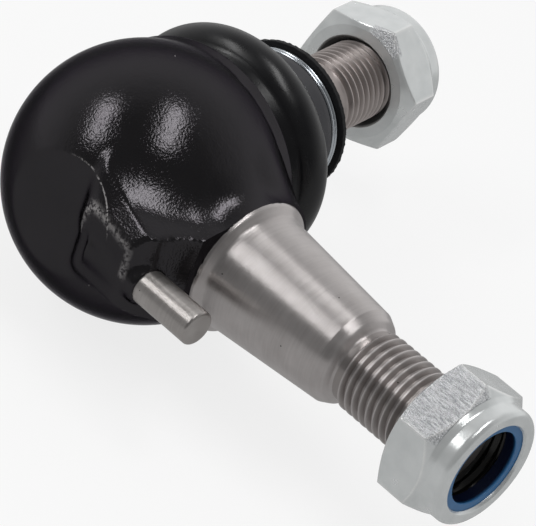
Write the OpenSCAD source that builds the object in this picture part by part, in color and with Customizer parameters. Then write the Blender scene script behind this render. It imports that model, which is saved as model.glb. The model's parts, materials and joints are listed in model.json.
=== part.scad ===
// Suspension ball joint with a taper shank, a locating pin and a threaded ball stud.
// The origin is on the shank axis at the large end of its taper.
// +X runs along the shank, and +Z is square to the plane of the shank and the ball stud.

/* [Housing] */
// Radius of the round socket body
housing_r = 22.9; // [22.4:0.1:26]
// Distance from the ball centre to the flat face behind the socket
flat_depth = 20.6; // [19:0.1:21.2]
// Distance from the ball centre to the mouth rim
mouth_height = 11.4; // [11:0.1:12]
// Radius of the turned band round the mouth
mouth_r = 21; // [20.6:0.1:22]
// Height of the turned band below the rim
band_height = 2.4; // [1.5:0.1:3]
// Angle by which the shank leans past square to the stud
shank_lean = 8; // [4:0.1:12]

/* [Taper shank] */
// Distance from the ball centre to the large end of the taper
seat_reach = 25.1; // [24.6:0.1:30]
// Radius of the collar at the large end
collar_r = 12; // [11.2:0.1:12.6]
// Radius of the fillet between the socket body and the collar
neck_fillet = 4; // [2:0.5:6]
// Length of the flare from the collar to the taper
flare_length = 2.2; // [1:0.1:4]
// Radius of the taper, read at its large end
taper_r_large = 10.6; // [10:0.1:11]
// Radius of the taper at its small end
taper_r_small = 8.6; // [8:0.1:9.4]
// Length of the taper
taper_length = 23.3; // [18:0.1:30]
// Length of the rounded run-out past the taper
runout_length = 2.9; // [2:0.1:5]
// Distance from the taper to the rounded shoulder of the run-out
runout_shoulder = 1.3; // [0.8:0.1:1.6]
// Drop in radius from the taper to that shoulder
runout_drop = 0.5; // [0.2:0.1:0.8]
// Depth of the undercut below the thread
undercut_depth = 0.6; // [0.4:0.1:0.9]
// Width of the undercut
undercut_w = 0.4; // [0.2:0.1:0.8]
// Length of the thread on the shank
shank_thread_length = 21.2; // [18:0.1:30]

/* [Threads and nuts] */
// Nominal diameter of both threads
thread_d = 14; // [13:0.5:15]
// Radial room between a thread and its nut
thread_fit = 0.02; // [0.01:0.01:0.1]
// Pitch of both threads
thread_pitch = 1.5; // [1.25:0.25:2]
// Depth of the thread grooves
thread_depth = 0.8; // [0.4:0.1:0.9]
// Nut size across the flats
nut_flats = 22; // [21.5:0.1:24]
// Overall height of a nut
nut_height = 12; // [11:0.1:15]
// Height of the hexagon up to the start of the crown
hex_height = 8.6; // [7.5:0.1:9]
// Outer radius of the round crown
crown_r = 10.4; // [10:0.1:10.6]
// Rounding of the crown lip
crown_round = 1.4; // [0.8:0.1:1.6]
// Radius of the opening in the crown lip
crown_hole_r = 7.6; // [7.5:0.1:8]
// Step from the flats in to the bearing face
bearing_inset = 0.4; // [0.2:0.1:0.8]
// Depth of the countersink at the bearing face
countersink = 1; // [0.6:0.1:1.4]
// Distance from the end of the taper run-out to the shank nut
shank_nut_gap = 14.9; // [10:0.1:16]
// Distance from the stud collar to the stud nut
stud_nut_gap = 20.5; // [16:0.1:24]
// Turn of the shank nut about the shank
shank_nut_turn = 31.2; // [0:0.1:60]
// Turn of the stud nut about the stud
stud_nut_turn = 10.8; // [0:0.1:60]

/* [Nylon inserts] */
// Inner radius of the locking ring
insert_r = 6.6; // [6.2:0.1:6.9]
// Outer radius of the locking ring
insert_outer_r = 8.6; // [8.2:0.1:8.9]
// Height of the locking ring
insert_height = 2.2; // [1.5:0.1:2.4]
// Thickness of the crown lip above the locking ring
crown_lip = 0.7; // [0.5:0.1:1]

/* [Locating pin] */
// Diameter of the pin
pin_d = 6; // [5:0.1:7]
// Diameter of the pressed root of the pin
pin_root_d = 6.4; // [6:0.1:7.2]
// Length of the root that stands out of the lug
pin_root_stand = 0.3; // [0.2:0.1:1]
// Distance from the shank axis to the pin axis
pin_offset = 18.8; // [18.4:0.1:21]
// Free length of the pin past its lug
pin_length = 11.7; // [8:0.1:16]
// Depth of the pin in its lug
pin_depth = 8; // [6:0.5:9]
// Chamfer on the free end
pin_chamfer = 0.8; // [0.3:0.1:1.2]

/* [Lug] */
// Distance from the ball centre to the lug end where the pin comes out
lug_reach = 21.3; // [20.6:0.1:23]
// Distance from the ball centre to the back of the lug
lug_start = 6.8; // [5:0.1:9]
// Width of the lug face
lug_w = 10.6; // [9.6:0.1:13]
// Material between the pin and the lug face
lug_wall = 0.4; // [0.4:0.1:2]
// Rise of the lug face over its length
lug_rise = 1.4; // [0:0.1:2]
// Length of the slope at the lug end
lug_slope = 2; // [1.6:0.1:4]
// Rounding of the lug edges
lug_round = 1; // [0.6:0.1:1.4]

/* [Ball stud] */
// Diameter of the ball
ball_d = 27; // [26:0.1:27.4]
// Radial room between the ball and its seat
ball_fit = 0.05; // [0.02:0.01:0.1]
// Flat under the ball, from the ball centre
ball_flat = 12; // [11:0.1:12.8]
// Radius of the neck next to the ball
neck_r = 7.2; // [6.5:0.1:7.4]
// Radius of the neck below the collar
neck_top_r = 8.4; // [7.8:0.1:9]
// Radius of the collar inside the boot lip
stud_collar_r = 9.4; // [9:0.1:10]
// Height of the collar
stud_collar_height = 4.2; // [3:0.1:5]
// Distance from the ball centre to the collar face
collar_height = 36.4; // [35:0.1:40]
// Plain length between the collar and the thread
stud_plain_length = 4.4; // [2:0.1:6]
// Plain radius between the collar and the thread
stud_plain_r = 6.7; // [6.2:0.1:6.9]
// Length of the stud past the collar
stud_end_length = 28; // [26:0.1:34]
// Chamfer on both thread ends
thread_chamfer = 1; // [0.5:0.1:1.5]

/* [Seat and closing ring] */
// Thickness of the plastic seat
seat_wall = 3; // [2.4:0.1:3.2]
// Room between the seat and the housing
seat_fit = 0.05; // [0.02:0.01:0.1]
// Distance from the mouth rim down to the top of the seat
seat_drop = 4.6; // [4.2:0.1:5.2]
// Thickness of the closing ring
ring_thickness = 1.5; // [1.2:0.1:1.8]
// Radius of the closing ring's opening
ring_r = 12.9; // [12.7:0.1:13.4]
// Wall of the housing at the mouth
mouth_wall = 1.9; // [1.6:0.1:2.2]
// Inward lip of the mouth rim
mouth_lip = 0.6; // [0.3:0.1:0.7]
// Height of the rim lip
mouth_lip_height = 0.6; // [0.4:0.1:0.8]

/* [Boot] */
// Wall of the boot
boot_wall = 1.4; // [1.2:0.1:1.8]
// Room between the boot and its neighbours
boot_gap = 0.3; // [0.2:0.05:0.5]
// Width of the lower bead
bead_w = 2.2; // [1.8:0.1:2.6]
// Outer radius of the large fold
fold_r = 20.5; // [19.6:0.1:21]
// Rounding of the large fold
fold_round = 4; // [3.4:0.1:4.6]
// Distance from the ball centre to the middle of the large fold
fold_height = 20.1; // [19.4:0.1:20.6]
// Radius of the valley below the large fold
valley_r = 16.6; // [16:0.1:17.2]
// Distance from the top of the large fold to the foot of the neck
neck_rise = 4.8; // [4:0.1:5.4]
// Spread of the neck at its foot
neck_flare = 1.3; // [0.8:0.1:1.8]
// Stand of the shoulder below the clamp groove
shoulder_stand = 0.7; // [0.4:0.1:1]
// Height of that shoulder
shoulder_height = 1.3; // [1:0.1:1.6]
// Radius of the boot lip
lip_r = 13.1; // [12.8:0.1:14]
// Thickness of the boot lip
lip_height = 1; // [0.8:0.1:1.6]
// Height by which the lip stands past the stud collar
lip_stand = 0.8; // [0.4:0.1:1.2]

/* [Clamp rings] */
// Diameter of the clamp wire
wire_d = 1.1; // [0.8:0.05:1.3]
// Pitch of the two wire turns
wire_pitch = 1; // [0.8:0.05:1.1]
// Thickness of the ring inside the lower bead
lower_ring_w = 0.9; // [0.6:0.1:1.2]

/* [Hidden] */
$fn = 96;
paint_black = "#1d1d21";
bare_steel = "#a59f99";
zinc_plate = "#c9cfd1";
nylon_blue = "#1f5f9e";
rubber_black = "#17171a";
wire_bright = "#d8dadb";
plastic_cream = "#d9d2bd";
eps = 0.01;
cut = 60;

thread_r = thread_d / 2;
ball_r = ball_d / 2;
pin_r = pin_d / 2;
pin_root_r = pin_root_d / 2;
press_room = 0.01;
crest_share = 0.25;

// Stations along the shank, from the large end of the taper
runout_end = taper_length + runout_length;
shank_end = runout_end + shank_thread_length;
shank_nut_at = runout_end + shank_nut_gap;
undercut_r = thread_r - undercut_depth;

// Stations along the stud, from the ball centre
stud_end = collar_height + stud_end_length;
thread_start = collar_height + stud_plain_length;
stud_nut_at = collar_height + stud_nut_gap;

// Socket, from the ball outwards
seat_inner_r = ball_r + ball_fit;
seat_outer_r = seat_inner_r + seat_wall;
socket_r = seat_outer_r + seat_fit;
mouth_bore_r = mouth_r - mouth_wall;
lip_bore_r = mouth_bore_r - mouth_lip;
seat_height = mouth_height - seat_drop;
ring_top = seat_height + ring_thickness;

// Lug, with heights measured from the shank axis
lug_face = pin_offset + pin_root_r + lug_wall;
lug_back_face = lug_face - lug_rise;
lug_half = lug_w / 2 - lug_round;
lug_spread = 5;
lug_root = 9;
lug_toe = 1;
lug_fn = 24;

// Web between the lug and the collar, clear of the pin
web_room = 0.5;
web_floor = pin_offset - pin_root_r - web_room;
web_start = 14;
web_reach = 1.5;
web_lift = 1;

// Fillet between the round body and the shank collar, sunk a little into the body
fillet_sink = 0.12;
fillet_x = sqrt(pow(housing_r + neck_fillet - fillet_sink, 2) - pow(collar_r + neck_fillet, 2));
fillet_share = housing_r / (housing_r + neck_fillet);

// Boot section
bead_bottom = ring_top + boot_gap;
bead_r = mouth_bore_r - boot_gap;
bead_inner_r = bead_r - bead_w;
throat_r = lip_bore_r - boot_gap;
bead_top = mouth_height - mouth_lip_height - boot_gap;
boot_top = collar_height + lip_stand;
lip_bottom = boot_top - lip_height;
lip_floor = collar_height + lip_stand / 2;
lip_hole_r = stud_plain_r + boot_gap;
boot_bore_r = stud_collar_r + boot_gap;
boot_neck_r = boot_bore_r + boot_wall;
fold_centre_r = fold_r - fold_round;
throat_rise = 0.4;
valley_height = (mouth_height + throat_rise + fold_height - fold_round) / 2;
neck_foot = fold_height + fold_round + neck_rise;
neck_bend = 1.2;
clamp_height = 2 * boot_gap + wire_d + wire_pitch;
clamp_middle = lip_bottom - clamp_height / 2;
clamp_r = boot_neck_r + boot_gap + wire_d / 2;
groove_bottom = lip_bottom - clamp_height;
shoulder_r = boot_neck_r + shoulder_stand;
fold_from = -62;
fold_to = 78;
fold_steps = 12;

function arc(centre, r, from, to) = [
    for (i = [0 : fold_steps])
        let (a = from + (to - from) * i / fold_steps)
            [centre[0] + r * cos(a), centre[1] + r * sin(a)]
];

// Outline of a thread as rings at its pitch, between two stations
function thread_rings(from, to) = [
    for (i = [0 : floor((to - from) / thread_pitch) - 1])
        let (z = from + i * thread_pitch)
            each [
                [thread_r, z + crest_share * thread_pitch],
                [thread_r - thread_depth, z + (1 + crest_share) / 2 * thread_pitch],
                [thread_r, z + thread_pitch]
            ]
];

// Frame with its origin at the ball centre and +X along the shank
module ball_frame() {
    translate([-seat_reach, 0, 0])
        children();
}

// Frame with its origin at the ball centre and +Z along the stud
module stud_frame() {
    ball_frame()
        rotate([0, 0, shank_lean])
            rotate([-90, 0, 0])
                children();
}

// Turns a solid that stands on +Z so that it lies along +X
module along_shank() {
    rotate([0, 90, 0])
        children();
}

// Annular cutter or ring between two radii
module tube(inner_r, outer_r, from, to) {
    translate([0, 0, from])
        difference() {
            cylinder(r = outer_r, h = to - from);
            translate([0, 0, -eps])
                cylinder(r = inner_r, h = to - from + 2 * eps);
        }
}

// Round socket body with its flat face, standing on the stud axis
module socket_body() {
    intersection() {
        sphere(r = housing_r);
        translate([0, 0, -flat_depth])
            cylinder(r = cut, h = flat_depth + mouth_height);
    }
    cylinder(r = mouth_r, h = mouth_height);
}

// Fillet and collar from which the taper shank grows
module shank_root() {
    along_shank() {
        rotate_extrude()
            difference() {
                translate([0, fillet_share * fillet_x])
                    square([fillet_share * (collar_r + neck_fillet), (1 - fillet_share) * fillet_x]);
                translate([collar_r + neck_fillet, fillet_x])
                    circle(r = neck_fillet);
            }
        translate([0, 0, housing_r / 2])
            cylinder(r = collar_r, h = seat_reach - housing_r / 2);
    }
}

// Raised lug that holds the locating pin
module lug() {
    hull() {
        for (side = [-1, 1]) {
            translate([lug_start + lug_round, -lug_back_face + lug_round, side * lug_half])
                sphere(r = lug_round, $fn = lug_fn);
            translate([lug_reach - lug_slope, -lug_face + lug_round, side * lug_half])
                sphere(r = lug_round, $fn = lug_fn);
            translate([lug_reach - lug_round, -pin_offset + lug_round, side * lug_half])
                sphere(r = lug_round, $fn = lug_fn);
            translate([lug_start + lug_round + lug_toe, -lug_root, side * (lug_half + lug_spread)])
                sphere(r = lug_round, $fn = lug_fn);
            translate([lug_reach - lug_round - lug_toe, -lug_root, side * (lug_half + lug_spread)])
                sphere(r = lug_round, $fn = lug_fn);
        }
    }
}

// Half width of the lug and web at a height from the shank axis, without its rounding
function flank_half(height) = lug_half + lug_spread * (lug_face - height) / (lug_face - lug_root);

// Web that runs from the lug up to the shank collar
module web() {
    end_height = collar_r + web_lift;
    hull() {
        for (side = [-1, 1]) {
            translate([web_start, -lug_root, side * flank_half(lug_root)])
                sphere(r = lug_round, $fn = lug_fn);
            translate([lug_reach - lug_round, -lug_root, side * flank_half(lug_root)])
                sphere(r = lug_round, $fn = lug_fn);
            translate([web_start, -web_floor + lug_round, side * flank_half(web_floor)])
                sphere(r = lug_round, $fn = lug_fn);
            translate([lug_reach - lug_round, -web_floor + lug_round, side * flank_half(web_floor)])
                sphere(r = lug_round, $fn = lug_fn);
            translate([lug_reach + web_reach, -end_height + lug_round, side * flank_half(end_height)])
                sphere(r = lug_round, $fn = lug_fn);
        }
    }
}

// Bare turned shank: flare, taper, run-out and thread
module taper_shank() {
    flare_r = taper_r_large - (taper_r_large - taper_r_small) * flare_length / taper_length;
    flare_bow = 0.3;
    thread_from = runout_end + thread_r - undercut_r;
    along_shank()
        rotate_extrude()
            polygon(concat([
                [0, -eps],
                [collar_r, -eps],
                [collar_r, 0],
                [flare_r + flare_bow * (collar_r - flare_r), flare_length / 2],
                [flare_r, flare_length],
                [taper_r_small, taper_length],
                [taper_r_small - runout_drop, taper_length + runout_shoulder],
                [undercut_r, runout_end - undercut_w],
                [undercut_r, runout_end],
                [thread_r, thread_from]
            ], thread_rings(thread_from, shank_end - thread_chamfer), [
                [thread_r, shank_end - thread_chamfer],
                [thread_r - thread_chamfer, shank_end],
                [0, shank_end]
            ]));
}

// Room for the seat, the closing ring and the lower bead of the boot
module socket_room() {
    sphere(r = socket_r);
    cylinder(r = socket_r, h = seat_height);
    translate([0, 0, seat_height])
        cylinder(r = mouth_bore_r, h = mouth_height - mouth_lip_height - seat_height);
    translate([0, 0, seat_height])
        cylinder(r = lip_bore_r, h = mouth_height);
}

module housing() {
    color(paint_black)
        difference() {
            union() {
                stud_frame()
                    socket_body();
                ball_frame() {
                    shank_root();
                    lug();
                    web();
                }
                taper_shank();
            }
            stud_frame() {
                socket_room();
                tube(mouth_r, mouth_r + neck_fillet, mouth_height - band_height, mouth_height + cut);
                translate([0, 0, mouth_height])
                    cylinder(r = mouth_r + eps, h = cut);
            }
            ball_frame()
                translate([lug_reach - pin_depth, -pin_offset, 0])
                    along_shank()
                        cylinder(r = pin_root_r + press_room, h = cut);
        }
}

module locating_pin() {
    color(bare_steel)
        ball_frame()
            translate([lug_reach - pin_depth + press_room, -pin_offset, 0])
                along_shank()
                    union() {
                        cylinder(r = pin_root_r, h = pin_depth + pin_root_stand);
                        cylinder(r = pin_r, h = pin_depth + pin_length - pin_chamfer);
                        translate([0, 0, pin_depth + pin_length - pin_chamfer])
                            cylinder(r1 = pin_r, r2 = pin_r - pin_chamfer, h = pin_chamfer);
                    }
}

// Lock nut that stands with its bearing face on the origin
module lock_nut() {
    corner_r = nut_flats / sqrt(3);
    face_r = nut_flats / 2 - bearing_inset;
    bearing_slope = 0.5;
    bearing_chamfer = (corner_r - face_r) * bearing_slope;
    crown_slope = 0.75;
    shoulder = (corner_r - crown_r) * crown_slope;
    crown_root = 1;
    insert_seat = nut_height - crown_lip - insert_height;
    difference() {
        union() {
            intersection() {
                cylinder(r = corner_r, h = nut_height, $fn = 6);
                rotate_extrude()
                    polygon([
                        [0, 0],
                        [face_r, 0],
                        [corner_r, bearing_chamfer],
                        [corner_r, hex_height - shoulder],
                        [crown_r, hex_height],
                        [0, hex_height]
                    ]);
            }
            rotate_extrude() {
                translate([0, hex_height - crown_root])
                    square([crown_r, nut_height - crown_round - hex_height + crown_root]);
                translate([0, nut_height - crown_round - eps])
                    square([crown_r - crown_round, crown_round + eps]);
                translate([crown_r - crown_round, nut_height - crown_round])
                    circle(r = crown_round);
            }
        }
        translate([0, 0, -eps])
            cylinder(r = thread_r + thread_fit, h = insert_seat + 2 * eps);
        translate([0, 0, -eps])
            cylinder(r1 = thread_r + countersink, r2 = thread_r, h = countersink);
        translate([0, 0, insert_seat])
            cylinder(r = insert_outer_r + press_room, h = insert_height + press_room);
        translate([0, 0, nut_height - crown_lip - eps])
            cylinder(r = crown_hole_r, h = cut);
    }
}

// Nylon locking ring in its place in the nut
module nut_insert() {
    translate([0, 0, press_room])
        tube(insert_r, insert_outer_r, nut_height - crown_lip - insert_height, nut_height - crown_lip);
}

module shank_nut_frame() {
    translate([shank_nut_at, 0, 0])
        rotate([shank_nut_turn, 0, 0])
            rotate([90, 0, 90])
                children();
}

module stud_nut_frame() {
    stud_frame()
        translate([0, 0, stud_nut_at])
            rotate([0, 0, -stud_nut_turn])
                children();
}

module shank_nut() {
    color(zinc_plate)
        shank_nut_frame()
            lock_nut();
}

module shank_nut_insert() {
    color(nylon_blue)
        shank_nut_frame()
            nut_insert();
}

module stud_nut() {
    color(zinc_plate)
        stud_nut_frame()
            lock_nut();
}

module stud_nut_insert() {
    color(nylon_blue)
        stud_nut_frame()
            nut_insert();
}

module ball_seat() {
    color(plastic_cream)
        stud_frame()
            difference() {
                union() {
                    sphere(r = seat_outer_r);
                    cylinder(r = seat_outer_r, h = seat_height);
                }
                sphere(r = seat_inner_r);
                translate([0, 0, seat_height - press_room])
                    cylinder(r = cut, h = cut);
            }
}

module ball_stud() {
    neck_sink = 1;
    neck_start = sqrt(pow(ball_r, 2) - pow(neck_r, 2)) - neck_sink;
    neck_straight = 1;
    collar_foot = collar_height - stud_collar_height;
    thread_from = thread_start + thread_r - stud_plain_r;
    color(bare_steel)
        stud_frame()
            union() {
                intersection() {
                    sphere(r = ball_r);
                    translate([0, 0, -ball_flat])
                        cylinder(r = ball_r, h = ball_flat + ball_r);
                }
                rotate_extrude()
                    polygon(concat([
                        [0, neck_start],
                        [neck_r, neck_start],
                        [neck_r, ball_r + neck_straight],
                        [neck_top_r, collar_foot - (stud_collar_r - neck_top_r)],
                        [stud_collar_r, collar_foot],
                        [stud_collar_r, collar_height],
                        [stud_plain_r, collar_height],
                        [stud_plain_r, thread_start],
                        [thread_r, thread_from]
                    ], thread_rings(thread_from, stud_end - thread_chamfer), [
                        [thread_r, stud_end - thread_chamfer],
                        [thread_r - thread_chamfer, stud_end],
                        [0, stud_end]
                    ]));
            }
}

module closing_ring() {
    color(bare_steel)
        stud_frame()
            tube(ring_r, mouth_bore_r - press_room, seat_height, ring_top);
}

// Rubber bellows: lower bead, valley, large fold, neck, clamp groove and lip
module boot() {
    outer = concat(
        [[bead_r, bead_bottom], [bead_r, bead_top]],
        [[throat_r, bead_top], [throat_r, mouth_height + throat_rise]],
        [[valley_r, valley_height]],
        arc([fold_centre_r, fold_height], fold_round, fold_from, fold_to),
        [[boot_neck_r + neck_flare, neck_foot - neck_bend / 2], [boot_neck_r, neck_foot + neck_bend / 2]],
        [[boot_neck_r, groove_bottom - shoulder_height]],
        [[shoulder_r, groove_bottom - shoulder_height / 2], [shoulder_r, groove_bottom]],
        [[boot_neck_r, groove_bottom], [boot_neck_r, lip_bottom]],
        [[lip_r, lip_bottom], [lip_r, boot_top], [lip_hole_r, boot_top]],
        [[lip_hole_r, lip_floor], [boot_bore_r, lip_floor]]
    );
    inner = concat(
        [[boot_bore_r, neck_foot], [boot_bore_r + neck_flare, neck_foot - boot_wall]],
        arc([fold_centre_r, fold_height], fold_round - boot_wall, fold_to, fold_from),
        [[valley_r - boot_wall, valley_height], [bead_inner_r, mouth_height], [bead_inner_r, bead_bottom]]
    );
    color(rubber_black)
        stud_frame()
            rotate_extrude()
                polygon(concat(outer, inner));
}

module boot_ring_lower() {
    ring_outer_r = bead_inner_r - boot_gap;
    color(bare_steel)
        stud_frame()
            tube(ring_outer_r - lower_ring_w, ring_outer_r, ring_top, bead_top);
}

module boot_clamp_upper() {
    color(wire_bright)
        stud_frame()
            for (turn = [-0.5, 0.5])
                translate([0, 0, clamp_middle + turn * wire_pitch])
                    rotate_extrude()
                        translate([clamp_r, 0])
                            circle(r = wire_d / 2);
}

housing();
locating_pin();
shank_nut();
shank_nut_insert();
ball_seat();
ball_stud();
closing_ring();
boot();
boot_ring_lower();
boot_clamp_upper();
stud_nut();
stud_nut_insert();
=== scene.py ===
import json
import math
import bpy
import numpy as np
from mathutils import Matrix, Vector, noise


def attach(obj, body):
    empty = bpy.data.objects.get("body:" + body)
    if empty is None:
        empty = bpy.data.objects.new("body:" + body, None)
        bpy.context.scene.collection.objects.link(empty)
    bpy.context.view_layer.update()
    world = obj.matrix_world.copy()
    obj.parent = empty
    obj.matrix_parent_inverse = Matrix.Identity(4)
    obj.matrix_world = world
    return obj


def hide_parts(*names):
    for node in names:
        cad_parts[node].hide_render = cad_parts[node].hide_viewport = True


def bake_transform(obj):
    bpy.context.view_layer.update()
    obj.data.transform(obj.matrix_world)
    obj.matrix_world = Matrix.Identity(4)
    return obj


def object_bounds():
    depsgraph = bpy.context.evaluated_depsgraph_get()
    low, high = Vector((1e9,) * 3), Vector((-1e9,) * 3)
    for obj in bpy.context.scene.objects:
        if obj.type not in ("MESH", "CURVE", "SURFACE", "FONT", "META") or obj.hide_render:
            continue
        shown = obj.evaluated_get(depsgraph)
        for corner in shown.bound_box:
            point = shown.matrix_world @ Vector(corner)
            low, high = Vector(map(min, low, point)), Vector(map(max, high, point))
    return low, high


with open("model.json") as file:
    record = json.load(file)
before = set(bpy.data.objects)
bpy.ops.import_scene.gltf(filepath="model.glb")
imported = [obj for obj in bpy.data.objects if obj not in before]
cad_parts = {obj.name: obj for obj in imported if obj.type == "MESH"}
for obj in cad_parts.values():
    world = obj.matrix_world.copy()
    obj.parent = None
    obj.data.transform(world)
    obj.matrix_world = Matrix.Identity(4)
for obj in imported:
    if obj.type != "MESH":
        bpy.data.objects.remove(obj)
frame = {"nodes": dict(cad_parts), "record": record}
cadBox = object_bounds()
mm = 0.001
mergeGap = 0.002 * mm  # points closer than this become one
cutGap = 0.0005 * mm  # points this near a cut lie on it
joints = {joint["name"]: joint for joint in frame["record"]["behaviour"]["joints"]}
mounts = {mount["name"]: mount for mount in frame["record"]["mounts"]}
ballCentre = Vector(joints["stud_tilt"]["pos_m"])
studAxis = Vector(joints["stud_spin"]["axis"]).normalized()
shankStart = Vector(mounts["shank_seat"]["pos_m"])
shankAxis = Vector(mounts["shank_seat"]["axis"]).normalized()
pinAxisPoint = Vector(mounts["locating_pin"]["pos_m"])


def placeFrame(origin, alongZ, alongX):
    z = alongZ.normalized()
    x = (alongX - z * alongX.dot(z)).normalized()
    place = Matrix((x, z.cross(x), z)).transposed().to_4x4()
    place.translation = origin
    return place


studFrame = placeFrame(ballCentre, studAxis, shankAxis)
shankFrame = placeFrame(shankStart, shankAxis, studAxis)


# camera, lamps, floor and surroundings
photoCamera = {
    "place": (0.28264, -0.38958, 0.31997),
    "right": (0.66902, 0.69481, 0.26392),
    "up": (-0.56162, 0.24001, 0.79182),
    "back": (0.48682, -0.67796, 0.55079),
    "lens": 249.35, "sensor": 36.0, "nearest": 0.01,
}
viewAxes = Matrix((photoCamera["right"], photoCamera["up"], photoCamera["back"])).transposed()
softboxes = {  # direction and long side, both as the camera sees them
    "leftBox": {"to": (-0.498, 0.710, 0.498), "long": (0.443, 0.701, -0.559),
                "size": (0.17, 0.56), "glow": 6.5},
    "topBox": {"to": (0.345, 0.676, 0.651), "long": (0.14, 0.643, -0.749),
               "size": (0.2, 0.66), "glow": 6.5},
}
studio = {
    "lampDistance": 1.0, "white": (1, 1, 1, 1),
    "backGlow": 0.8, "frontGlow": 0.13, "fadeFrom": -0.6, "fadeTo": 0.4, "roomGlow": 0.5,
    "floorDrop": 1.0, "floorRadius": 0.45, "floorSides": 96, "floorGrey": (0.86, 0.86, 0.86, 1),
    "floorRough": 0.9, "floorWhite": 0.8, "floorMirrored": 0.42,
}


def aimCamera():
    camera = bpy.data.cameras.new("photoCamera")
    camera.sensor_fit = "HORIZONTAL"
    camera.sensor_width = photoCamera["sensor"]
    camera.lens = photoCamera["lens"]
    camera.clip_start = photoCamera["nearest"]
    holder = bpy.data.objects.new("photoCamera", camera)
    holder.matrix_world = Matrix.Translation(photoCamera["place"]) @ viewAxes.to_4x4()
    bpy.context.collection.objects.link(holder)
    bpy.context.scene.camera = holder


def hangSoftboxes():
    for name, box in softboxes.items():
        toLamp = (viewAxes @ Vector(box["to"])).normalized()
        longSide = viewAxes @ Vector(box["long"])
        lamp = bpy.data.lights.new(name, "AREA")
        lamp.shape = "RECTANGLE"
        lamp.size, lamp.size_y = box["size"]
        lamp.energy = box["glow"] * math.pi * box["size"][0] * box["size"][1]
        holder = bpy.data.objects.new(name, lamp)
        place = placeFrame(toLamp * studio["lampDistance"], toLamp, longSide)
        holder.matrix_world = place @ Matrix.Rotation(math.pi / 2, 4, "Z")  # long side on the lamp's own y
        bpy.context.collection.objects.link(holder)


def addNode(tree, kind, inputs=None, **settings):
    made = tree.nodes.new("ShaderNode" + kind)
    for key, value in settings.items():
        setattr(made, key, value)
    for key, value in (inputs or {}).items():
        if isinstance(value, bpy.types.NodeSocket):
            tree.links.new(value, made.inputs[key])
        else:
            made.inputs[key].default_value = value
    return made


def paintSurroundings():
    world = bpy.data.worlds.new("studioRoom")
    world.use_nodes = True
    bpy.context.scene.world = world
    tree = world.node_tree
    background = tree.nodes["Background"]
    direction = addNode(tree, "TexCoord").outputs["Generated"]
    ahead = tuple(-Vector(photoCamera["back"]))
    behind = addNode(tree, "VectorMath", {0: direction, 1: ahead}, operation="DOT_PRODUCT")
    mirrored = addNode(tree, "MapRange", {"Value": behind.outputs["Value"],
                                          "From Min": studio["fadeFrom"], "From Max": studio["fadeTo"],
                                          "To Min": studio["frontGlow"], "To Max": studio["backGlow"]})
    rays = addNode(tree, "LightPath")
    glossy = addNode(tree, "Math", {0: rays.outputs["Is Glossy Ray"], 1: rays.outputs["Is Transmission Ray"]},
                     operation="MAXIMUM")
    soft = addNode(tree, "Mix", {"Factor": glossy.outputs[0], "A": studio["roomGlow"],
                                 "B": mirrored.outputs[0]}, data_type="FLOAT")
    seen = addNode(tree, "Mix", {"Factor": rays.outputs["Is Camera Ray"], "A": soft.outputs[0], "B": 1.0},
                   data_type="FLOAT")
    tree.links.new(seen.outputs[0], background.inputs["Strength"])
    background.inputs["Color"].default_value = studio["white"]


def clearSelection():
    if bpy.context.object and bpy.context.object.mode != "OBJECT":
        bpy.ops.object.mode_set(mode="OBJECT")
    bpy.ops.object.select_all(action="DESELECT")


def layFloor():
    clearSelection()
    low = cadBox[0][2] - studio["floorDrop"] * mm
    bpy.ops.mesh.primitive_circle_add(vertices=studio["floorSides"], radius=studio["floorRadius"],
                                      fill_type="NGON", location=(0, 0, low))
    floor = bpy.context.object
    floor.name = "paperFloor"
    bpy.ops.object.transform_apply(location=True)
    paper = bpy.data.materials.new("paleFloor")
    paper.use_nodes = True
    tree = paper.node_tree
    sheet = tree.nodes["Principled BSDF"]
    sheet.inputs["Base Color"].default_value = studio["floorGrey"]
    sheet.inputs["Roughness"].default_value = studio["floorRough"]
    rays = addNode(tree, "LightPath")
    bright = addNode(tree, "Emission", {"Color": studio["white"], "Strength": 1.0})
    share = addNode(tree, "Math", {0: rays.outputs["Is Camera Ray"], 1: studio["floorWhite"]},
                    operation="MULTIPLY")
    seen = addNode(tree, "MixShader", {0: share.outputs[0], 1: sheet.outputs[0], 2: bright.outputs[0]})
    grey = addNode(tree, "Emission", {"Color": studio["white"], "Strength": studio["floorMirrored"]})
    mirrored = addNode(tree, "MixShader", {0: rays.outputs["Is Glossy Ray"], 1: seen.outputs[0],
                                           2: grey.outputs[0]})
    tree.links.new(mirrored.outputs[0], tree.nodes["Material Output"].inputs["Surface"])
    floor.data.materials.append(paper)


aimCamera()
hangSoftboxes()
paintSurroundings()
layFloor()
bpy.context.scene.view_settings.view_transform = "Standard"
print("studio ready")


# modelling helpers
rounding = {"stepAngle": 14, "mostOfSide": 0.48, "guardGap": 0.07}


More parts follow.
